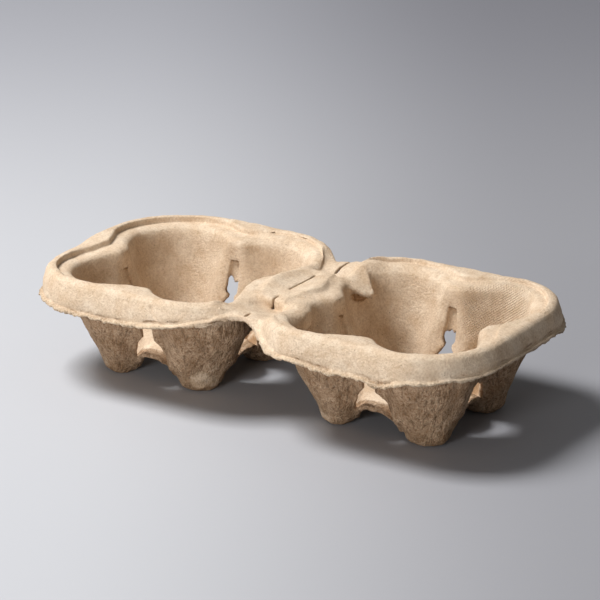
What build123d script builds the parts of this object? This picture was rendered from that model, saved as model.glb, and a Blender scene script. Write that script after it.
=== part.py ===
from build123d import *
import os

# Two-cup carrier pressed in one piece from a sheet of paper pulp, in millimetres.
# +X runs through both pockets, +Z is up, and the feet stand on z = 0.

sheet = 2.2                # thickness of the pressed pulp
rim_gap = 4.8              # between the crests of the two rims, filled by the ridge

rim_height = 47.5          # crest of the rolled rim above the table
rim_half = 51.6            # centre of a pocket to the outside of the rim, at its crest
rim_corner = 31.0          # corner radius of the rim, at its crest
rim_outer_round = 3.2      # rounding of the rim towards the skirt
rim_width = 5.1            # across the rim at its crest, from its outside to the crease
skirt_height = 10.2        # crest of the rim down to the upper face of the trimmed flange
skirt_spread = 2.6         # how far the skirt leans out on its way down
skirt_belly = 6.0          # crest of the rim down to where the skirt turns almost upright
belly_spread = 2.1         # how far it has leant out there
belly_round = 9.0          # rounding of that turn
flange_sheet = 1.4         # thickness of the flange
flange_width = 1.2         # flange beyond the foot of the skirt
waist_round = 12.0         # radius of the two notches between the pockets

crease_run = 18.5          # middle of a side, where its grip is, to where the crease turns its corner
crease_depth = 2.6         # crest of the rim down to the ledge
crease_round = 1.6         # rounding of the rim towards the crease
grip_swell = 5.5           # how far the rim swells inward at the grip of each side
grip_radius = 18.0         # radius of a grip in plan
grip_blend = 9.0           # radius that leads the crease into a grip

floor_height = 11.0        # underside of the raised floor
floor_radius = 25.4        # outside of the pocket at its floor
mouth_radius = 34.0        # outside of the pocket's round part at the ledge
mouth_round = 3.4          # rounding of the ledge into the pocket
foot_centre = 22.0         # middle of a foot from the middle of its pocket, along X and Y
foot_radius = 8.2          # outside of a foot on the table, before its edge is rounded
foot_round = 4.6           # rounding under a foot
shoulder_ledge = 5.0       # ledge from the crease in to the outside of the same lobe
shoulder_radius = 22.7     # outside of the lobe at the ledge
lobe_blend = 2.6           # rounding between a lobe and the round part

slot_drop = 9.4            # ledge down to the upper end of the slot at each side of a pocket
slot_neck_rise = 7.5       # raised floor up to where the slot starts to flare
slot_top_width = 3.4
slot_neck_width = 5.4
slot_foot_width = 18.0     # the slot just above the floor

valley_depth = 7.5         # crest of the rim down to the lowest point of the valleys beside the ridge
valley_rise = 2.0          # how far a valley climbs to the trimmed edge
waist_depth = 12.6         # outside of the rims in to that edge, at the waist
valley_radius = 22.0       # curve across a valley
web_length = 107.0         # the web that joins the rims under the ridge and the valleys
web_width = 44.0
web_crown = 0.6            # height of the web above a valley's end, before the valley is pressed in
ridge_length = 40.0        # the ridge that is left between the two valleys
ridge_width = 11.6         # the fill between the rims that makes the ridge
ridge_round = 1.0          # rounding at the two ends of the ridge

tear_width = 0.8           # perforation for parting the two cups
tears = ((3.0, 21.0), (-17.6, 6.4), (34.5, 12.6), (-38.0, 5.0))    # middle and length of each cut

above = 20.0               # how far cutting tools reach past the model
level_gap = 0.01           # edges this close count as the same

ledge_height = rim_height - crease_depth
crease_half = rim_half - rim_width
grip_reach = crease_half - grip_swell
crease_corner = crease_half - crease_run
shoulder_centre = crease_half - shoulder_ledge - shoulder_radius
pocket_pitch = 2 * rim_half + rim_gap
flange_height = rim_height - skirt_height
flange_base = flange_height - flange_sheet
valley_floor = rim_height - valley_depth
valley_lip = valley_floor + valley_rise
valley_end = rim_half - waist_depth
slot_top = ledge_height - slot_drop
slot_neck_height = floor_height + sheet + slot_neck_rise
flange_half = rim_half + skirt_spread + flange_width
flange_corner = rim_corner + skirt_spread + flange_width


def rounded_square(half, corner):
    return RectangleRounded(2 * half, 2 * half, corner)


def at_pockets(shape):
    return [Pos(side * pocket_pitch / 2, 0, 0) * shape for side in (-1, 1)]


def quarter_turns(shape):
    return [Rot(0, 0, 90 * turn) * shape for turn in range(4)]


def rim_drum(under):
    foot = rounded_square(rim_half + skirt_spread - under, rim_corner + skirt_spread - under)
    crest = rounded_square(rim_half - under, rim_corner - under)
    belly = rounded_square(rim_half + belly_spread - under, rim_corner + belly_spread - under)
    belly_height = rim_height - skirt_belly - under
    drum = loft([Pos(0, 0, flange_base - under) * foot, Pos(0, 0, belly_height) * belly,
                 Pos(0, 0, rim_height - under) * crest], ruled=True)
    turn = drum.edges().filter_by_position(Axis.Z, belly_height - level_gap, belly_height + level_gap)
    drum = fillet(turn, belly_round - under)
    return fillet(drum.faces().sort_by(Axis.Z)[-1].edges(), rim_outer_round - under)


def crease_outline(grow):
    plan = rounded_square(crease_half + grow, crease_corner + grow)
    plan -= quarter_turns(Pos(grip_reach + grip_radius, 0, 0) * Circle(grip_radius - grow))
    grip_ends = sorted(plan.vertices(), key=lambda corner: min(abs(corner.X), abs(corner.Y)))[:8]
    return fillet(grip_ends, grip_blend + grow)


def crease_recess(under):
    return Pos(0, 0, ledge_height - under) * extrude(crease_outline(under), above)


def web(under):
    half = web_length / 2 - under
    crown = valley_lip + web_crown - under
    outline = Polyline((-half, flange_base - under), (half, flange_base - under), (half, flange_height - under),
                       (valley_end, crown), (-valley_end, crown), (-half, flange_height - under), close=True)
    return extrude(Plane.YZ * make_face(outline), web_width / 2 - under, both=True)


def ridge(under):
    base = flange_base - under
    plan = Rectangle(ridge_width, ridge_length)
    return Pos(0, 0, base) * extrude(plan, rim_height - under - base)


def valley(under):
    # a round trough that climbs outwards from the end of the ridge
    start = ridge_length / 2 - under
    axis_height = valley_floor - under + valley_radius
    climb = (valley_lip - valley_floor) / (valley_end - ridge_length / 2)
    section = Plane((0, start, axis_height), x_dir=(1, 0, 0), z_dir=(0, -1, 0)) * Circle(valley_radius)
    return extrude(section, web_length, dir=(0, 1, climb))


def ridge_ends(form):
    # edges where the ridge and the ledges beside it break off into the valleys
    end = ridge_length / 2
    return [edge for edge in form.edges()
            if edge.bounding_box().size.Y < level_gap
            and abs(abs(edge.center().Y) - end) < level_gap
            and edge.center().Z > ledge_height - level_gap]


def skin_form(under):
    # everything under the upper face of the sheet, or under its lower face
    form = Part() + at_pockets(rim_drum(under)) + web(under) + ridge(under)
    for recess in at_pockets(crease_recess(under)):
        form -= recess
    if not under:
        crest = form.faces().sort_by(Axis.Z)[-1]
        form = fillet([edge for wire in crest.inner_wires() for edge in wire.edges()], crease_round)
    for side in (0, 180):
        form -= Rot(0, 0, side) * valley(under)
    if not under:
        form = fillet(ridge_ends(form), ridge_round)
    return form


def between(low, high, share):
    return low + (high - low) * share


def lobe_outline(height, thinner):
    share = height / ledge_height
    centre = between(foot_centre, shoulder_centre, share)
    return Pos(centre, centre) * Circle(between(foot_radius, shoulder_radius, share) - thinner)


def foot(thinner):
    sections = [Pos(0, 0, height) * lobe_outline(height, thinner) for height in (thinner, floor_height + thinner)]
    form = loft(sections, ruled=True)
    return fillet(form.faces().sort_by(Axis.Z)[0].edges(), foot_round - thinner)


def pocket_outline(height, thinner):
    # a circle with a lobe towards each corner, and the corners between them rounded
    share = (height - floor_height) / (ledge_height - floor_height)
    radius = between(floor_radius, mouth_radius, share) - thinner
    plan = Circle(radius) + quarter_turns(lobe_outline(height, thinner))
    inner_corners = [corner for corner in plan.vertices()
                     if abs(Vector(corner.X, corner.Y).length - radius) < level_gap
                     and min(abs(corner.X), abs(corner.Y)) > level_gap]
    return Pos(0, 0, height) * fillet(inner_corners, lobe_blend + thinner)


def pocket_form(thinner):
    sections = [pocket_outline(height, thinner) for height in (floor_height + thinner, ledge_height)]
    return loft(sections, ruled=True) + quarter_turns(foot(thinner))


def pocket_hollow():
    # the hollow and the recess of the ledge above it, rounded where they meet
    form = pocket_form(sheet) + crease_recess(0)
    ledge = form.faces().filter_by_position(Axis.Z, ledge_height - level_gap, ledge_height + level_gap)[0]
    return fillet(ledge.inner_wires()[0].edges(), mouth_round)


def trim_outline():
    plan = Sketch() + at_pockets(rounded_square(flange_half, flange_corner))
    waist_corners = sorted(plan.vertices(), key=lambda corner: abs(corner.X))[:2]
    return fillet(waist_corners, waist_round)


def slot():
    # flares from its top to the raised floor
    sides = [(slot_top_width / 2, slot_top), (slot_neck_width / 2, slot_neck_height),
             (slot_foot_width / 2, floor_height + sheet)]
    mirrored = [(-across, height) for across, height in reversed(sides)]
    outline = Polyline(*sides, *mirrored, close=True)
    return extrude(Plane.YZ * make_face(outline), mouth_radius + sheet)


def perforation():
    cuts = [Pos(0, middle, rim_height) * Box(tear_width, length, 2 * (rim_height - flange_base))
            for middle, length in tears]
    return Part() + cuts


def carrier():
    upper = skin_form(0)
    plan = trim_outline()
    flange = Pos(0, 0, flange_base) * extrude(plan, flange_sheet)
    skin = (upper + flange - skin_form(sheet)) & (Pos(0, 0, flange_base) * extrude(plan, rim_height))
    walls = (Part() + at_pockets(pocket_form(0))) & (upper + extrude(plan, flange_base))
    body = skin + walls
    for hollow in at_pockets(pocket_hollow()):
        body -= hollow
    for slots in at_pockets(Part() + quarter_turns(slot())):
        body -= slots
    return body - perforation()


os.makedirs("parts", exist_ok=True)
export_step(carrier().solid(), "parts/carrier.step")
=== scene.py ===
import bpy
import itertools
import math
import numpy as np
from mathutils import Matrix, Vector


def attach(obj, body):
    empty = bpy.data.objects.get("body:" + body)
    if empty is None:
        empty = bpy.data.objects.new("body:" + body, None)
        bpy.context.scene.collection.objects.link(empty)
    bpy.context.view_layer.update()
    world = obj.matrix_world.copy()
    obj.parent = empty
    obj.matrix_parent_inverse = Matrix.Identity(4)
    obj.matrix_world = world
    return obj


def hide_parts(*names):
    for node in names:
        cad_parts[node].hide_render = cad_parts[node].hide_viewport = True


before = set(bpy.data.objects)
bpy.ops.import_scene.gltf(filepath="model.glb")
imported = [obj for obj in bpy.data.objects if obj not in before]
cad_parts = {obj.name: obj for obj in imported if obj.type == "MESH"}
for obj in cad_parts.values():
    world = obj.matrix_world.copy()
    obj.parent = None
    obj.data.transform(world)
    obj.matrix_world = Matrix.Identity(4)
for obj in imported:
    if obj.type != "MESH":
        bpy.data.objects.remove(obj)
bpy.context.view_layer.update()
mm = 0.001


def toLinear(hexColour):
    channels = [int(hexColour[i:i + 2], 16) / 255 for i in (1, 3, 5)]
    return [c / 12.92 if c <= 0.04045 else ((c + 0.055) / 1.055) ** 2.4 for c in channels] + [1.0]


def addNode(tree, kind, settings=None, links=None):
    # settings go to the node itself or to a socket, which is named or numbered
    node = tree.nodes.new(kind)
    for name, value in (settings or {}).items():
        if isinstance(name, str) and hasattr(node, name):
            setattr(node, name, value)
        else:
            node.inputs[name].default_value = value
    for name, source in (links or {}).items():
        tree.links.new(source, node.inputs[name])
    return node


def smoothStep(low, high, value):
    t = np.clip((value - low) / (high - low), 0, 1)
    return t * t * (3 - 2 * t)


def near(distance, reach, flat=0.0):
    # 1 up to the flat share of the reach, and smoothly down to 0 at the reach
    return 1 - smoothStep(flat * reach, reach, distance)


def lumps(points, size, seed):
    # smooth random field from about -1 to 1, with lumps as wide as size
    table = np.random.default_rng(seed).uniform(-1, 1, (32, 32, 32))
    scaled = points / size
    cell = np.floor(scaled).astype(int)
    t = scaled - cell
    t = t * t * (3 - 2 * t)
    total = np.zeros(len(points))
    for corner in itertools.product((0, 1), repeat=3):
        weight = np.prod(np.where(corner, t, 1 - t), axis=1)
        index = (cell + corner) % 32
        total += weight * table[index[:, 0], index[:, 1], index[:, 2]]
    return total


def layered(points, layers):
    # each layer has its height, width, stretch along Z (under 1 draws the lumps out upright) and seed
    return sum(height * lumps(points * (1, 1, upright), width, seed)
               for height, width, upright, seed in layers)


print("stage: the pressed sheet")

# The pressed sheet: how finely it is drawn, and the sizes that it has in the CAD, in millimetres
sheet = {
    "voxel": 0.45,              # size of the grid that the sheet is remeshed on
    "wornRounds": 4,            # rounds of smoothing that wear the pressed edges
    "triangles": 192000,
    "pocketMiddle": 54.0,       # from the middle of the carrier, along X
    "rimHalf": 51.6,            # from there to the outside of the rim, at its crest
    "rimCorner": 31.0,
    "ledgeHeight": 44.9,
    "flangeTop": 37.3,
    "floorHeight": 11.0,        # underside of the raised floor
    "floorRadius": 25.4,        # outside of the wall at the floor
    "mouthRadius": 34.0,        # and at the ledge
    "footMiddle": 22.0,         # from the middle of its pocket, along X and Y
    "footRadius": 8.2,
    "shoulderMiddle": 18.8,     # the lobe above a foot, at the ledge
    "shoulderRadius": 22.7,
    "thickness": 2.2,
}


def meshFrom(source):
    evaluated = source.evaluated_get(bpy.context.evaluated_depsgraph_get())
    return bpy.data.meshes.new_from_object(evaluated)


def applied(piece):
    old = piece.data
    piece.data = meshFrom(piece)
    piece.modifiers.clear()
    bpy.data.meshes.remove(old)
    return piece


def readPoints(mesh):
    points = np.empty(len(mesh.vertices) * 3, np.float32)
    mesh.vertices.foreach_get("co", points)
    normals = np.empty(len(mesh.vertices) * 3, np.float32)
    mesh.vertices.foreach_get("normal", normals)
    return points.reshape(-1, 3).astype(float) / mm, normals.reshape(-1, 3).astype(float)


def writePoints(mesh, points):
    mesh.vertices.foreach_set("co", (points * mm).astype(np.float32).ravel())
    mesh.update()


def fromPocket(points):
    # the same points seen from the middle of their own pocket
    local = points.copy()
    local[:, 0] -= np.where(points[:, 0] < 0, -1.0, 1.0) * sheet["pocketMiddle"]
    return local


def outsideRim(local):
    # distance outside the rim's outline at its crest, negative inside
    straight = sheet["rimHalf"] - sheet["rimCorner"]
    over = np.abs(local[:, :2]) - straight
    corner = np.hypot(np.maximum(over[:, 0], 0), np.maximum(over[:, 1], 0))
    return corner + np.minimum(over.max(axis=1), 0) - sheet["rimCorner"]


def cupRadius(height):
    climb = np.clip((height - sheet["floorHeight"]) / (sheet["ledgeHeight"] - sheet["floorHeight"]), 0, 1)
    return sheet["floorRadius"] + (sheet["mouthRadius"] - sheet["floorRadius"]) * climb


def outsideWall(local):
    # distance outside the pocket's wall, negative inside
    rise = np.clip(local[:, 2] / sheet["ledgeHeight"], 0, 1)
    distance = np.hypot(local[:, 0], local[:, 1]) - cupRadius(local[:, 2])
    middle = sheet["footMiddle"] + (sheet["shoulderMiddle"] - sheet["footMiddle"]) * rise
    radius = sheet["footRadius"] + (sheet["shoulderRadius"] - sheet["footRadius"]) * rise
    lobe = np.hypot(np.abs(local[:, 0]) - middle, np.abs(local[:, 1]) - middle) - radius
    return np.minimum(distance, lobe)


# Some slots weren't punched through: a thin web of pulp is left in their upper part, torn along its foot
webs = {
    "thickness": 0.8,
    "halfWidth": 3.2,
    "top": 37.0,
    "recess": 1.6,              # behind the inner face of the wall
    "ragged": 1.3,              # how far the torn edge strays up and down
    "points": 7,                # along that edge
    # which pocket, quarter turns from +X, and the height of the torn edge
    "places": ((-1, 1, 27.2), (1, 1, 25.6), (-1, 2, 21.0), (1, 0, 20.0), (-1, 0, 21.5), (1, 2, 22.0)),
}


def slotWeb(side, turn, low, seed):
    # an upright ragged tongue, as thick as one layer of pulp, that leans out with the wall
    chance = np.random.default_rng(seed)
    across = np.linspace(-webs["halfWidth"], webs["halfWidth"], webs["points"])
    lower = [(x, low + webs["ragged"] * chance.uniform(-1, 1)) for x in across]
    outline = lower + [(webs["halfWidth"], webs["top"]), (-webs["halfWidth"], webs["top"])]
    angle = turn * math.pi / 2
    outward = Vector((math.cos(angle), math.sin(angle), 0))
    sideways = Vector((-math.sin(angle), math.cos(angle), 0))
    corners = []
    for depth in (webs["recess"], webs["recess"] + webs["thickness"]):
        for x, height in outline:
            reach = float(cupRadius(height)) - sheet["thickness"] + depth
            seat = Vector((side * sheet["pocketMiddle"], 0, height))
            corners.append((outward * reach + sideways * x + seat) * mm)
    count = len(outline)
    faces = [tuple(range(count)), tuple(reversed(range(count, 2 * count)))]
    faces += [(i, i + count, (i + 1) % count + count, (i + 1) % count) for i in range(count)]
    return corners, faces


def withWebs(mesh):
    # the CAD sheet's mesh and the webs as one mesh, which the remesh then joins
    points = [vertex.co.copy() for vertex in mesh.vertices]
    faces = [tuple(face.vertices) for face in mesh.polygons]
    for seed, (side, turn, low) in enumerate(webs["places"]):
        corners, sides = slotWeb(side, turn, low, seed)
        faces += [tuple(i + len(points) for i in face) for face in sides]
        points += corners
    joined = bpy.data.meshes.new("pulpSheet")
    joined.from_pydata(points, [], faces)
    joined.update()
    return joined


def remeshed(piece):
    grid = piece.modifiers.new("grid", "REMESH")
    grid.mode = "VOXEL"
    grid.voxel_size = sheet["voxel"] * mm
    worn = piece.modifiers.new("worn", "SMOOTH")
    worn.factor = 0.5
    worn.iterations = sheet["wornRounds"]
    return applied(piece)


# The bridge and the walls came off the mould soft, and the slots and the perforation kept their edges
softness = {
    "rounds": 170,              # of smoothing
    "levels": 8,                # steps in which it fades out
    "bridgeHalf": (21.0, 32.0), # half of the soft part of the bridge, along X and Y
    "bridgeFrom": (36.0, 40.0), # heights over which it sets in
    "tearEdge": (0.45, 1.0),    # and distances from the perforation
    "wallReach": 7.5,           # to both sides of the wall's outer face
    "wallFrom": (14.0, 18.0),   # heights over which it sets in
    "wallTop": 43.0,            # and where it ends
    "slotEdge": (5.5, 8.0),     # distances from the middle of a slot over which it sets in
}


def softShare(points):
    x, y, z = np.abs(points[:, 0]), np.abs(points[:, 1]), points[:, 2]
    halfX, halfY = softness["bridgeHalf"]
    onBridge = near(x, halfX, 0.5) * near(y, halfY, 0.7) * smoothStep(*softness["bridgeFrom"], z)
    onBridge *= smoothStep(*softness["tearEdge"], x)
    local = fromPocket(points)
    besideSlot = np.minimum(np.abs(local[:, 0]), np.abs(local[:, 1]))
    onWall = near(np.abs(outsideWall(local)), softness["wallReach"], 0.6)
    onWall *= smoothStep(*softness["wallFrom"], z) * near(z, softness["wallTop"], 0.93)
    onWall *= smoothStep(*softness["slotEdge"], besideSlot)
    return np.maximum(onBridge, onWall)


def soften(piece):
    share = softShare(readPoints(piece.data)[0])
    group = piece.vertex_groups.new(name="soft")
    for level in range(1, softness["levels"] + 1):
        chosen = np.where(np.round(share * softness["levels"]) == level)[0]
        group.add(chosen.tolist(), level / softness["levels"], "REPLACE")
    soft = piece.modifiers.new("soft", "SMOOTH")
    soft.factor = 0.5
    soft.iterations = softness["rounds"]
    soft.vertex_group = "soft"
    applied(piece)
    piece.vertex_groups.clear()


# How the sheet dried out of true, in millimetres
drying = {
    # how far the trimmed flange hangs below its level along the front, at each X
    "flangeHang": ((-94, 1.9), (-54, 1.8), (-46, 1.0), (-38, 0.1), (-33, -0.6), (-28, -1.4),
                   (-23, -2.4), (-16, -3.2), (-9, -3.0), (3, -1.5), (9, -0.3), (14, 0.3), (19, 1.1),
                   (29, 0.6), (38, 1.5), (46, 1.9), (62, 1.9), (67, 2.2), (71, 2.8), (75, 2.3),
                   (80, 0.2), (85, -0.3), (91, -0.5), (100, -1.5), (109, -2.2)),
    "hangUntil": (-26.0, 28.0), # it hangs like that up to this Y, and levels out over this much more
    "hangBend": (82.0, 100.0, 42.0),    # between these X it goes on further back, in the end by this much
    "edgeWaves": ((0.35, 7.0, 0, 31), (0.2, 2.6, 0, 32)),   # layers of small waves along the front
    "backWaves": ((0.8, 26.0, 0, 33),),     # and of broad ones at the back, which set in over these Y
    "backFrom": (0.0, 30.0),
    "flangeBand": 8.5,          # the sheet goes with the flange this far above and below it
    "looseFrom": (30.0, 34.0),  # heights over which it starts to
    "looseOutside": (0.6, 3.5), # and distances outside a pocket's wall
    # where the rims rise or sink: X, Y, how far round, and by how much
    "crestWarps": ((-90, 36, 30, -1.3), (-15, 35, 22, -0.5), (-105, -20, 26, -1.5), (9, 33, 14, 2.0),
                   (0, 36, 10, 1.2), (90, 36, 32, 1.0), (-4, -39, 15, 1.6)),
    "crestFrom": (18.0, 44.0),  # heights over which that sets in
    "bridgeFrom": (39.0, 42.0), # the same for the bridge
    "bridgeEnd": 27.0,          # half of its length
    "bridgeDrop": (1.6, 9.5),   # it sank by this much, over this half width
    "bridgeFill": (1.1, -11.8, 7.0),    # the crease to its left is filled: how much, middle and half width
    "bridgeBulge": (-19.0, -15.0, 17.0, 4.2),   # it swells into the left pocket: X, Y, reach and travel
    "bulgeFrom": (26.0, 42.0),  # heights over which that sets in
    "bridgeLip": (1.2, -40.0, 13.0),    # the cut edge at its front hangs: how much, its Y and reach
    "lipLevel": (34.0, 8.0),    # height of that edge, and how far up and down it moves
    "creaseFill": 1.3,          # the crease of the rim is filled along the back
    "creaseWidth": 5.0,         # to both sides of its middle, which lies this far inside the rim
    "creaseInside": 7.5,
    # and where along it: middle in X, half length, share of it that is even, and how full
    "filledRuns": ((-33.0, 24.0, 0.6, 1.0), (52.0, 50.0, 0.7, 0.8)),
    # cuts of the perforation that stand open: middle in Y, half length, and the gap on each side
    "tearGaps": ((-17.6, 5.0, 0.12), (34.5, 9.0, 0.35)),
    "slotPinch": (3.0, 16.5, 6.5),      # slots at the back are narrower: how much, at what height, and reach
    "sidePush": 4.5,            # how far the wall bellies out between two feet
    "cornerPush": 3.2,          # how far it reaches into the corners of the mouth
    "footTuck": (0.84, 0.54, 2.6),      # the outer side of two feet leans in: its direction, and how far
    "tuckHeight": 20.0,         # it fades out up to this height
    "bentFoot": (-32.0, -22.0, -3.0, 1.0),  # X and Y of one foot, and how far it went along them
    "bendReach": (25.0, 32.0),  # it fades out this far round the foot, and up to this height
}


def flangeDrop(points, wall):
    x, y, z = points.T
    places, hang = np.array(drying["flangeHang"]).T
    level, fade = drying["hangUntil"]
    start, end, further = drying["hangBend"]
    drop = np.interp(x, places, hang) + layered(points, drying["edgeWaves"])
    drop *= near(y - level - further * smoothStep(start, end, x), fade)
    drop += layered(points, drying["backWaves"]) * smoothStep(*drying["backFrom"], y)
    loose = near(z - sheet["flangeTop"], drying["flangeBand"]) * smoothStep(*drying["looseFrom"], z)
    return drop * loose * smoothStep(*drying["looseOutside"], wall)


def crestRise(points):
    x, y, z = points.T
    rises = [rise * near(np.hypot(x - placeX, y - placeY), reach, 0.3)
             for placeX, placeY, reach, rise in drying["crestWarps"]]
    return sum(rises) * smoothStep(*drying["crestFrom"], z)


def bridgeRise(points, wall):
    # both faces of the sheet travel together, so that it keeps its thickness
    x, y, z = points.T
    drop, half = drying["bridgeDrop"]
    fill, middle, fillHalf = drying["bridgeFill"]
    rise = fill * near(np.abs(x - middle), fillHalf, 0.6) - drop * near(np.abs(x), half, 0.55)
    rise *= smoothStep(*drying["bridgeFrom"], z) * near(np.abs(y), drying["bridgeEnd"], 0.75)
    hang, lipY, reach = drying["bridgeLip"]
    level, upDown = drying["lipLevel"]
    lip = near(np.hypot(x, y - lipY), reach, 0.5) * near(z - level, upDown, 0.6)
    return rise - hang * lip * smoothStep(30, 33, z) * smoothStep(2, 5, wall)


def creaseRise(points, local):
    x, y, z = points.T
    onLedge = smoothStep(42.5, 44.6, z) * near(z - sheet["ledgeHeight"], 2.4, 0.2)
    across = near(np.abs(outsideRim(local) + drying["creaseInside"]), drying["creaseWidth"], 0.4)
    runs = [full * near(np.abs(x - middle), half, even)
            for middle, half, even, full in drying["filledRuns"]]
    return drying["creaseFill"] * onLedge * across * smoothStep(24, 34, y) * np.max(runs, axis=0)


def bridgeShift(points):
    # along X: the bulge into the left pocket and the open cuts of the perforation
    x, y, z = points.T
    placeX, placeY, reach, travel = drying["bridgeBulge"]
    bulge = travel * near(np.hypot(x - placeX, y - placeY), reach, 0.2) * smoothStep(*drying["bulgeFrom"], z)
    gaps = sum(gap * near(np.abs(y - middle), half, 0.6) for middle, half, gap in drying["tearGaps"])
    return np.sign(x) * gaps * near(np.abs(x), 5, 0.2) - bulge


def slotShift(local):
    # along X, towards the middle of the slot
    x, y, z = local.T
    pinch, height, reach = drying["slotPinch"]
    atBack = near(np.abs(z - height), reach, 0.3) * smoothStep(20, 24, y)
    return -np.sign(x) * pinch * atBack * near(np.abs(x), 14, 0.35) * smoothStep(1, 3, np.abs(x))


def wallShift(local, wall):
    # outwards: a belly between the feet, and squarer corners at the mouth
    x, y, z = local.T
    angle = np.arctan2(y, x)
    between = smoothStep(0.15, 1.0, np.abs(np.cos(2 * angle))) * smoothStep(12, 24, np.hypot(x, y))
    belly = drying["sidePush"] * (1 - 0.5 * smoothStep(33, 45, z)) * smoothStep(3, 12, z) * between
    corner = drying["cornerPush"] * smoothStep(0.55, 0.97, np.abs(np.sin(2 * angle))) * smoothStep(8, 30, z)
    travel = belly * near(wall, 8.5, 0.25) + corner * near(np.abs(wall), 8.5, 0.3)
    return np.stack((np.cos(angle) * travel, np.sin(angle) * travel), axis=1)


def footShift(points, local):
    x, y, z = points.T
    tuckX, tuckY, tuck = drying["footTuck"]
    outward = -(local[:, 0] * tuckX + local[:, 1] * tuckY)
    tucked = tuck * near(z, drying["tuckHeight"], 0.1) * smoothStep(24, 38, outward)
    placeX, placeY, alongX, alongY = drying["bentFoot"]
    around, up = drying["bendReach"]
    bent = near(np.hypot(x - placeX, y - placeY), around, 0.35) * near(z, up, 0.1)
    return np.stack((tuckX * tucked + alongX * bent, tuckY * tucked + alongY * bent), axis=1)


def warped(points):
    local = fromPocket(points)
    wall = outsideWall(local)
    out = points.copy()
    out[:, 2] += crestRise(points) + bridgeRise(points, wall) + creaseRise(points, local)
    out[:, 2] -= flangeDrop(points, wall)
    out[:, 0] += bridgeShift(points) + slotShift(local)
    out[:, :2] += wallShift(local, wall) + footShift(points, local)
    return out


# Marks that this one carrier got, in millimetres
marks = {
    # bulges on the inner wall: X, Y, Z, reach across and up, height, and share of the reach that is even
    "pads": ((16.0, -21.0, 40.0, 9.5, 9.0, 4.0, 0.45), (-35.6, 39.0, 39.6, 2.6, 2.2, 0.9, 0.1),
             (-31.6, 38.6, 40.4, 2.4, 2.2, 0.8, 0.1), (-25.0, 36.5, 41.5, 4.5, 2.0, 0.6, 0.1)),
    "flap": (16.4, 23.3, 46.8, 37.0, 5.8),  # X, Y, heights of its top and its tip, and half width
    "flapHeight": 6.0,          # how far it leans off the wall
    # scratches and cracks: two ends, half width and depth
    "cuts": (((-14.5, -3.5, 44.5), (-11.3, -13.5, 44.5), 0.45, 0.7),
             ((-38.4, -52.7, 45.0), (-33.8, -54.0, 39.4), 0.5, 0.6),
             ((70.0, 44.0, 45.5), (84.0, 38.5, 44.6), 0.4, 0.5),
             ((-47.0, 44.2, 45.6), (-26.0, 45.5, 45.2), 0.45, 0.6),
             ((-50.0, 52.0, 46.8), (-20.0, 50.0, 45.6), 0.5, 0.5),
             ((-44.0, -54.2, 38.3), (-15.0, -52.5, 38.8), 0.4, 0.5)),
    "cutWander": ((0.5, 2.3, 1, 41),),  # layers, along X and Y
    "lipDroop": 5.2,            # the edge of the raised floor runs down into the feet beside each slot
    "lipWaves": ((0.2, 7.0, 1, 43),),
    "seamDepth": 0.35,          # a line comes and goes in the skirt, just above the flange
    "seamWaves": ((1, 9.0, 1, 44),),
}


def cutDepth(points, start, end, halfWidth, depth):
    start, end = np.array(start), np.array(end)
    along = end - start
    share = np.clip((points - start) @ along / (along @ along), 0, 1)
    wander = layered(points, marks["cutWander"])[:, None] * np.array((1, 1, 0))
    away = np.linalg.norm(points + wander - start - share[:, None] * along, axis=1)
    return depth * near(away, 2 * halfWidth) * smoothStep(0, 0.15, share) * smoothStep(0, 0.15, 1 - share)


def padShare(points, x, y, z, across, up, even):
    away = np.hypot(points[:, 0] - x, points[:, 1] - y)
    return near(np.hypot(away / across, (points[:, 2] - z) / up), 1.0, even)


def flapShare(points, x, y, top, tip, halfWidth):
    # 0 at the top of the flap, 1 near its tip, and 0 again just past its edges
    middle = np.array((x - sheet["pocketMiddle"], y))
    outward = middle / np.linalg.norm(middle)
    away = points[:, :2] - (x, y)
    onWall = near(np.abs(away @ outward), 12, 0.7)
    sideways = np.abs(away @ np.array((-outward[1], outward[0])))
    down = (top - points[:, 2]) / (top - tip)
    narrowed = halfWidth * np.sqrt(np.clip(1.25 - np.clip(down, 0, 1.2) ** 3, 0.05, 1))
    return onWall * smoothStep(0, 0.9, down) * near(down, 1.2, 0.84) * near(sideways / narrowed, 1.0, 0.72)


def lipDrop(points, local):
    x, y, z = np.abs(local[:, 0]), np.abs(local[:, 1]), local[:, 2]
    beside = np.minimum(x, y)
    arch = smoothStep(2.0, 9.5, beside) * near(beside, 15, 0.72) * smoothStep(17, 26, np.hypot(x, y))
    level = smoothStep(0, sheet["floorHeight"], z) * near(z, 19, 0.72)
    return marks["lipDroop"] * level * arch * (1 + layered(points, marks["lipWaves"]))


def seamDepth(points, local):
    seam = near(np.abs(points[:, 2] - sheet["flangeTop"] - 0.5), 0.8)
    seam *= smoothStep(1.0, 2.0, outsideRim(local))
    return marks["seamDepth"] * seam * smoothStep(-0.5, 0.2, layered(points, marks["seamWaves"]))


def marked(points, normals):
    local = fromPocket(points)
    radial = np.hypot(local[:, 0], local[:, 1])
    facingIn = -(normals[:, 0] * local[:, 0] + normals[:, 1] * local[:, 1]) / radial
    inner = np.maximum(smoothStep(0.1, 0.5, facingIn), smoothStep(0.3, 0.7, normals[:, 2]))
    raised = marks["flapHeight"] * flapShare(points, *marks["flap"])
    for x, y, z, across, up, height, even in marks["pads"]:
        raised += height * padShare(points, x, y, z, across, up, even)
    out = points.copy()
    out[:, :2] -= local[:, :2] * (raised * inner / radial)[:, None]
    out[:, 2] -= lipDrop(points, local)
    return out - normals * seamDepth(points, local)[:, None]


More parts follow.
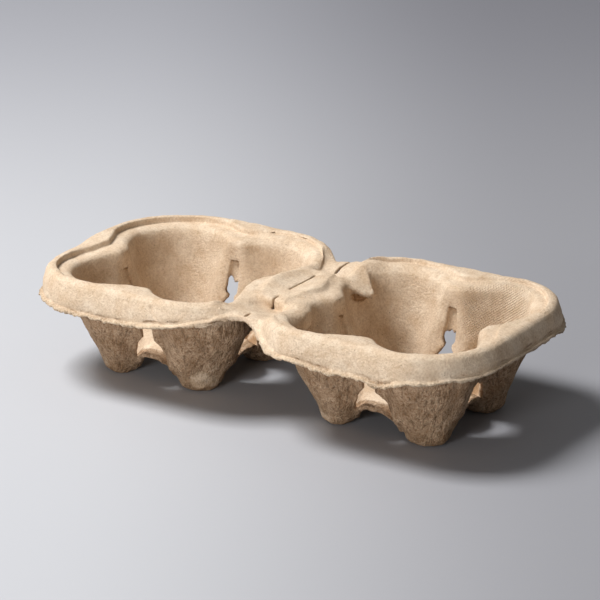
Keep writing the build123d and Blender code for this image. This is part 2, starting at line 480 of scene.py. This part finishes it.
def coarseShare(points, normals):
    # 1 where the fibres lay away from the screen and stayed coarse, 0 on the pressed side
    local = fromPocket(points)
    wall = outsideWall(local)
    radial = np.hypot(local[:, 0], local[:, 1])
    facingOut = (normals[:, 0] * local[:, 0] + normals[:, 1] * local[:, 1]) / np.maximum(radial, 1)
    low = 1 - smoothStep(sheet["flangeTop"] - 4, sheet["flangeTop"], points[:, 2])
    outer = smoothStep(-1.6, -0.9, wall) * low * smoothStep(-0.5, 0.2, facingOut)
    under = smoothStep(0.1, 0.5, -normals[:, 2])
    return np.clip(np.maximum(outer, under), 0, 1)


def tornShare(points):
    # 1 on the trimmed edge of the flange, where the pulp is torn and fuzzy
    rim = outsideRim(fromPocket(points))
    onEdge = near(points[:, 2] - sheet["flangeTop"], 1.6, 0.3) * smoothStep(30, 32, points[:, 2])
    return smoothStep(1.9, 3.0, rim) * onEdge


# Lumps and wrinkles of the surface, in layers
texture = {
    "everywhere": ((0.18, 11.0, 1, 1), (0.13, 3.6, 1, 2), (0.08, 1.7, 1, 3)),
    "coarseSide": ((0.30, 2.6, 0.35, 4), (0.16, 1.3, 0.6, 5)),
    "tornEdge": ((0.45, 1.9, 1, 6), (0.3, 0.9, 1, 7)),
}


def relief(points, normals):
    height = layered(points, texture["everywhere"])
    height += coarseShare(points, normals) * layered(points, texture["coarseSide"])
    height += tornShare(points) * layered(points, texture["tornEdge"])
    return points + normals * height[:, None]


def setMark(mesh, name, values):
    mark = mesh.attributes.new(name, "FLOAT", "POINT")
    mark.data.foreach_set("value", values.astype(np.float32))


def pressedSheet():
    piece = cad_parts["carrier"].copy()
    piece.data = withWebs(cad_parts["carrier"].data)
    piece.name = "pulpSheet"
    piece.parent = None
    bpy.context.scene.collection.objects.link(piece)
    remeshed(piece)
    print("stage: remeshed", len(piece.data.vertices))
    points, normals = readPoints(piece.data)
    cuts = sum(cutDepth(points, *cut) for cut in marks["cuts"])     # made last, so that they stay sharp
    writePoints(piece.data, marked(points, normals))
    writePoints(piece.data, warped(readPoints(piece.data)[0]))
    soften(piece)
    points, normals = readPoints(piece.data)
    points = relief(points - normals * cuts[:, None], normals)
    points[:, 2] = np.maximum(points[:, 2], 0.0)    # nothing goes below the table
    writePoints(piece.data, points)
    fewer = piece.modifiers.new("fewer", "DECIMATE")
    piece.data.calc_loop_triangles()
    fewer.ratio = min(1.0, sheet["triangles"] / len(piece.data.loop_triangles))
    applied(piece)
    points, normals = readPoints(piece.data)
    setMark(piece.data, "coarseSide", coarseShare(points, normals))
    setMark(piece.data, "tornEdge", tornShare(points))
    for face in piece.data.polygons:
        face.use_smooth = True
    return piece


# Moulded pulp: unbleached recycled paper, pressed wet on a screen. It looks like soft matte card with
# short fibres, darker flecks and no gloss, and its outer side stays coarse and greyer.
pulp = {
    "light": "#EFDBC2",
    "dark": "#DDC3A5",
    "coarse": "#D6B99B",
    "coarseDark": "#AA8B6C",
    "torn": "#DCC7AC",
    "fleck": "#6E533D",
    "fibreShade": "#B89F86",
    # painted shade for the wrinkles of the coarse side
    "grooveShade": "#7C624A",
    "bump": 0.75,               # depth of the fibres, drawn deeper than it is so that it shows at this size
    "fibre": 0.9,               # width of a clump of fibres, in millimetres
    "strand": 1.5,              # and of a wrinkle on the coarse side, which runs upright
    "mottle": 8.0,              # width of a cloud of denser pulp
    "fleckSpacing": 3.2,
    "wirePitch": 0.9,           # print of the drying screen, drawn coarser than its 0.55 so that it shows
    "wirePatch": (74.0, 38.0, 37.0),    # middle of the patch where it shows
    "wireReach": (12.0, 22.0),  # and how far round it starts and ends to fade
    "wireTurn": 38.0,           # degrees by which its wires lean, and the others cross them at right angles
    "fleckSize": (0.05, 0.11),  # radius and blurred edge of a fleck, as shares of the spacing
    "fleckShow": 0.7,
    "grooveShow": 0.85,         # how dark the painted shade in the wrinkles of the coarse side is
    "fibreShow": (0.42, 0.9),   # how much the tone of the fibres shows on the pressed and on the coarse side
    "strandRise": 2.2,          # height of the coarse side's wrinkles against that of the fibres
    "wireRise": 0.8,            # and of the screen's print
    "specular": 0.2,
    "roughness": 0.93,
}


def pulpMaterial():
    material = bpy.data.materials.new("mouldedPulp")
    material.use_nodes = True
    tree = material.node_tree
    tree.nodes.clear()
    place = addNode(tree, "ShaderNodeTexCoord").outputs["Object"]
    coarse = addNode(tree, "ShaderNodeAttribute", {"attribute_name": "coarseSide"}).outputs["Fac"]
    torn = addNode(tree, "ShaderNodeAttribute", {"attribute_name": "tornEdge"}).outputs["Fac"]
    upright = addNode(tree, "ShaderNodeMapping", {"Scale": (1, 1, 0.3)}, {"Vector": place}).outputs[0]
    clouds = addNode(tree, "ShaderNodeTexNoise",
                     {"Scale": 1 / (pulp["mottle"] * mm), "Detail": 6.0, "Roughness": 0.62},
                     {"Vector": place}).outputs[0]
    fibres = addNode(tree, "ShaderNodeTexNoise",
                     {"Scale": 1 / (pulp["fibre"] * mm), "Detail": 5.0, "Roughness": 0.7},
                     {"Vector": place}).outputs[0]
    strands = addNode(tree, "ShaderNodeTexNoise",
                      {"Scale": 1 / (pulp["strand"] * mm), "Detail": 4.0, "Roughness": 0.65,
                       "Distortion": 0.6},
                      {"Vector": upright}).outputs[0]

    # the pressed side, the coarse side and the torn edge, each in its own tones
    pressedShare = addNode(tree, "ShaderNodeMapRange", {"From Min": 0.36, "From Max": 0.64},
                           {"Value": clouds}).outputs[0]
    pressed = addNode(tree, "ShaderNodeMix",
                      {"data_type": "RGBA", 6: toLinear(pulp["dark"]), 7: toLinear(pulp["light"])},
                      {0: pressedShare}).outputs[2]
    roughShare = addNode(tree, "ShaderNodeMapRange", {"From Min": 0.34, "From Max": 0.66},
                         {"Value": clouds}).outputs[0]
    rough = addNode(tree, "ShaderNodeMix",
                    {"data_type": "RGBA", 6: toLinear(pulp["coarseDark"]), 7: toLinear(pulp["coarse"])},
                    {0: roughShare}).outputs[2]
    body = addNode(tree, "ShaderNodeMix", {"data_type": "RGBA"},
                   {0: coarse, 6: pressed, 7: rough}).outputs[2]
    edged = addNode(tree, "ShaderNodeMix", {"data_type": "RGBA", 7: toLinear(pulp["torn"])},
                    {0: torn, 6: body}).outputs[2]

    # fibres catch the light one by one, so the tone changes over half a millimetre
    fibreShare = addNode(tree, "ShaderNodeMapRange", {"From Min": 0.34, "From Max": 0.6},
                         {"Value": fibres}).outputs[0]
    grain = addNode(tree, "ShaderNodeMix",
                    {"data_type": "RGBA", 6: toLinear(pulp["fibreShade"]), 7: toLinear("#FFFFFF")},
                    {0: fibreShare}).outputs[2]
    grained = addNode(tree, "ShaderNodeMix", {"data_type": "RGBA", "blend_type": "MULTIPLY", 0: 1.0},
                      {6: edged, 7: grain}).outputs[2]
    low, high = pulp["fibreShow"]
    grainShare = addNode(tree, "ShaderNodeMapRange", {"To Min": low, "To Max": high},
                         {"Value": coarse}).outputs[0]
    toned = addNode(tree, "ShaderNodeMix", {"data_type": "RGBA"},
                    {0: grainShare, 6: edged, 7: grained}).outputs[2]

    # painted shade in the wrinkles of the coarse side
    grooves = addNode(tree, "ShaderNodeMapRange",
                      {"From Min": 0.36, "From Max": 0.47, "To Min": pulp["grooveShow"], "To Max": 0.0},
                      {"Value": strands}).outputs[0]
    grooveShare = addNode(tree, "ShaderNodeMath", {"operation": "MULTIPLY"},
                          {0: grooves, 1: coarse}).outputs[0]
    wrinkled = addNode(tree, "ShaderNodeMix", {"data_type": "RGBA", 7: toLinear(pulp["grooveShade"])},
                       {0: grooveShare, 6: toned}).outputs[2]

    # dark flecks, which the fibres break up
    specks = addNode(tree, "ShaderNodeTexVoronoi",
                     {"Scale": 1 / (pulp["fleckSpacing"] * mm), "Randomness": 1.0},
                     {"Vector": place}).outputs["Distance"]
    low, high = pulp["fleckSize"]
    speckSize = addNode(tree, "ShaderNodeMapRange",
                        {"From Min": low, "From Max": high, "To Min": pulp["fleckShow"], "To Max": 0.0},
                        {"Value": specks}).outputs[0]
    speckTone = addNode(tree, "ShaderNodeMapRange", {"From Min": 0.45, "From Max": 0.55},
                        {"Value": fibres}).outputs[0]
    speckShare = addNode(tree, "ShaderNodeMath", {"operation": "MULTIPLY"},
                         {0: speckSize, 1: speckTone}).outputs[0]
    colour = addNode(tree, "ShaderNodeMix", {"data_type": "RGBA", 7: toLinear(pulp["fleck"])},
                     {0: speckShare, 6: wrinkled}).outputs[2]

    # print of the woven screen, on the one patch where it shows
    away = addNode(tree, "ShaderNodeVectorMath",
                   {"operation": "DISTANCE", 1: [value * mm for value in pulp["wirePatch"]]},
                   {0: place}).outputs["Value"]
    low, high = pulp["wireReach"]
    patch = addNode(tree, "ShaderNodeMapRange",
                    {"From Min": low * mm, "From Max": high * mm, "To Min": 1.0, "To Max": 0.0},
                    {"Value": away}).outputs[0]
    wireScale = 0.314 / (pulp["wirePitch"] * mm)    # a wave texture has one wave in 0.314 of its unit
    wires = []
    for turn in (pulp["wireTurn"], pulp["wireTurn"] - 90):
        seat = addNode(tree, "ShaderNodeMapping", {"Rotation": (0, math.radians(turn), 0)},
                       {"Vector": place})
        wires.append(addNode(tree, "ShaderNodeTexWave",
                             {"Scale": wireScale, "Distortion": 1.2, "Detail Scale": 1.0},
                             {"Vector": seat.outputs[0]}))
    crossed = addNode(tree, "ShaderNodeMath", {"operation": "MULTIPLY"},
                      {0: wires[0].outputs["Fac"], 1: wires[1].outputs["Fac"]}).outputs[0]
    printed = addNode(tree, "ShaderNodeMath", {"operation": "MULTIPLY"},
                      {0: crossed, 1: patch}).outputs[0]

    raised = addNode(tree, "ShaderNodeMath", {"operation": "MULTIPLY"},
                     {0: strands, 1: coarse}).outputs[0]
    fine = addNode(tree, "ShaderNodeMath", {"operation": "MULTIPLY_ADD", 1: pulp["strandRise"]},
                   {0: raised, 2: fibres}).outputs[0]
    height = addNode(tree, "ShaderNodeMath", {"operation": "MULTIPLY_ADD", 1: pulp["wireRise"]},
                     {0: printed, 2: fine}).outputs[0]
    bump = addNode(tree, "ShaderNodeBump", {"Strength": 1.0, "Distance": pulp["bump"] * mm},
                   {"Height": height}).outputs[0]
    shader = addNode(tree, "ShaderNodeBsdfPrincipled",
                     {"Roughness": pulp["roughness"], "Specular IOR Level": pulp["specular"]},
                     {"Base Color": colour, "Normal": bump}).outputs[0]
    addNode(tree, "ShaderNodeOutputMaterial", links={"Surface": shader})
    return material


carrier = pressedSheet()
carrier.data.materials.clear()
carrier.data.materials.append(pulpMaterial())
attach(carrier, "root")
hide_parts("carrier")
print("stage: triangles", sum(len(face.vertices) - 2 for face in carrier.data.polygons))

# The room, in metres: one pale table that fills the view, a soft lamp at the upper left and a weak low
# one in front. Places are given to the right, away and up as the camera sees them.
room = {
    "tableSize": 8.0,
    "tableLight": "#BEBFC3",    # to the left and near
    "tableShadedRight": "#9A9A9F",     # to the right: painted shade, where the lamp's light falls off
    "tableFarShade": "#E4E4E8",      # multiplied in with distance: painted shade, where the lamp's light falls off away from the camera
    "darkOver": (-0.10, 0.12),  # from where to where it darkens, to the right
    "farOver": (0.15, 0.62),    # and changes away from the camera
    "tableRoughness": 0.6,
    "lampSize": 0.5,
    "lampPower": 21.5,
    "lampPlace": (-0.62, 0.11, 1.11),
    "fillSize": 0.4,
    "fillPower": 7.0,
    "fillPlace": (-0.65, -1.05, 0.22),
    "worldColour": "#D4D3D2",
    "worldStrength": 0.22,
}

# The photograph's camera, fitted to the rims, the feet and the slots
view = {
    "azimuth": 32.73,           # degrees that the camera stands round from the front
    "elevation": 20.63,
    "distance": 1.5695,
    "target": (0.0, 0.0, 0.025),
    "focalPixels": 3791.4,
    "centre": (298.78, 331.19), # pixel that shows the target
    "imageSize": 600,
    "filmWidth": 36.0,
}
azimuth = math.radians(view["azimuth"])
elevation = math.radians(view["elevation"])
rightWay = Vector((math.cos(azimuth), math.sin(azimuth), 0))
lookWay = Vector((-math.sin(azimuth) * math.cos(elevation), math.cos(azimuth) * math.cos(elevation),
                  -math.sin(elevation)))
upWay = rightWay.cross(lookWay)
awayWay = Vector((-math.sin(azimuth), math.cos(azimuth), 0))


def facing(right, up, look):
    return Matrix((right, up, -look)).transposed().to_4x4()


def addCamera():
    data = bpy.data.cameras.new("camera")
    data.sensor_width = view["filmWidth"]
    data.lens = view["focalPixels"] * view["filmWidth"] / view["imageSize"]
    data.shift_x = 0.5 - view["centre"][0] / view["imageSize"]
    data.shift_y = view["centre"][1] / view["imageSize"] - 0.5
    data.clip_end = 50
    camera = bpy.data.objects.new("camera", data)
    bpy.context.scene.collection.objects.link(camera)
    seat = Matrix.Translation(Vector(view["target"]) - lookWay * view["distance"])
    camera.matrix_world = seat @ facing(rightWay, upWay, lookWay)
    bpy.context.scene.camera = camera


def addLamp(name, place, power, size):
    data = bpy.data.lights.new(name, "AREA")
    data.shape = "SQUARE"
    data.size = size
    data.energy = power
    lamp = bpy.data.objects.new(name, data)
    bpy.context.scene.collection.objects.link(lamp)
    right, away, up = place
    lamp.location = Vector(view["target"]) + rightWay * right + awayWay * away + Vector((0, 0, up))
    lamp.rotation_euler = (Vector(view["target"]) - lamp.location).to_track_quat("-Z", "Y").to_euler()


def tableMaterial():
    # painted board: plain and matte; its colour holds painted shade, paler towards the lamp and darker to
    # the right and away
    material = bpy.data.materials.new("tableWithPaintedShade")
    material.use_nodes = True
    tree = material.node_tree
    shader = tree.nodes["Principled BSDF"]
    place = addNode(tree, "ShaderNodeTexCoord").outputs["Object"]
    parts = addNode(tree, "ShaderNodeSeparateXYZ", links={0: place})
    low, high = room["darkOver"]
    across = addNode(tree, "ShaderNodeMapRange",
                     {"interpolation_type": "SMOOTHSTEP", "From Min": low, "From Max": high},
                     {"Value": parts.outputs[0]}).outputs[0]
    low, high = room["farOver"]
    far = addNode(tree, "ShaderNodeMapRange",
                  {"interpolation_type": "SMOOTHSTEP", "From Min": low, "From Max": high},
                  {"Value": parts.outputs[1]}).outputs[0]
    # painted shade: the colour darkens to the right and away from the camera, as the lamp's light falls off
    sides = addNode(tree, "ShaderNodeMix",
                    {"data_type": "RGBA", 6: toLinear(room["tableLight"]), 7: toLinear(room["tableShadedRight"])},
                    {0: across}).outputs[2]
    deeper = addNode(tree, "ShaderNodeMix",
                     {"data_type": "RGBA", "blend_type": "MULTIPLY", 7: toLinear(room["tableFarShade"])},
                     {0: far, 6: sides}).outputs[2]
    tree.links.new(deeper, shader.inputs["Base Color"])
    shader.inputs["Roughness"].default_value = room["tableRoughness"]
    return material


def addTable():
    half = room["tableSize"] / 2
    mesh = bpy.data.meshes.new("table")
    corners = [(-half, -half, 0), (half, -half, 0), (half, half, 0), (-half, half, 0)]
    mesh.from_pydata(corners, [], [(0, 1, 2, 3)])
    table = bpy.data.objects.new("table", mesh)
    bpy.context.scene.collection.objects.link(table)
    table.rotation_euler = (0, 0, azimuth)
    mesh.materials.append(tableMaterial())


addCamera()
addTable()
addLamp("softKey", room["lampPlace"], room["lampPower"], room["lampSize"])
addLamp("frontFill", room["fillPlace"], room["fillPower"], room["fillSize"])
world = bpy.data.worlds.new("studio")
bpy.context.scene.world = world
world.use_nodes = True
world.node_tree.nodes["Background"].inputs["Color"].default_value = toLinear(room["worldColour"])
world.node_tree.nodes["Background"].inputs["Strength"].default_value = room["worldStrength"]
bpy.context.scene.view_settings.view_transform = "Standard"
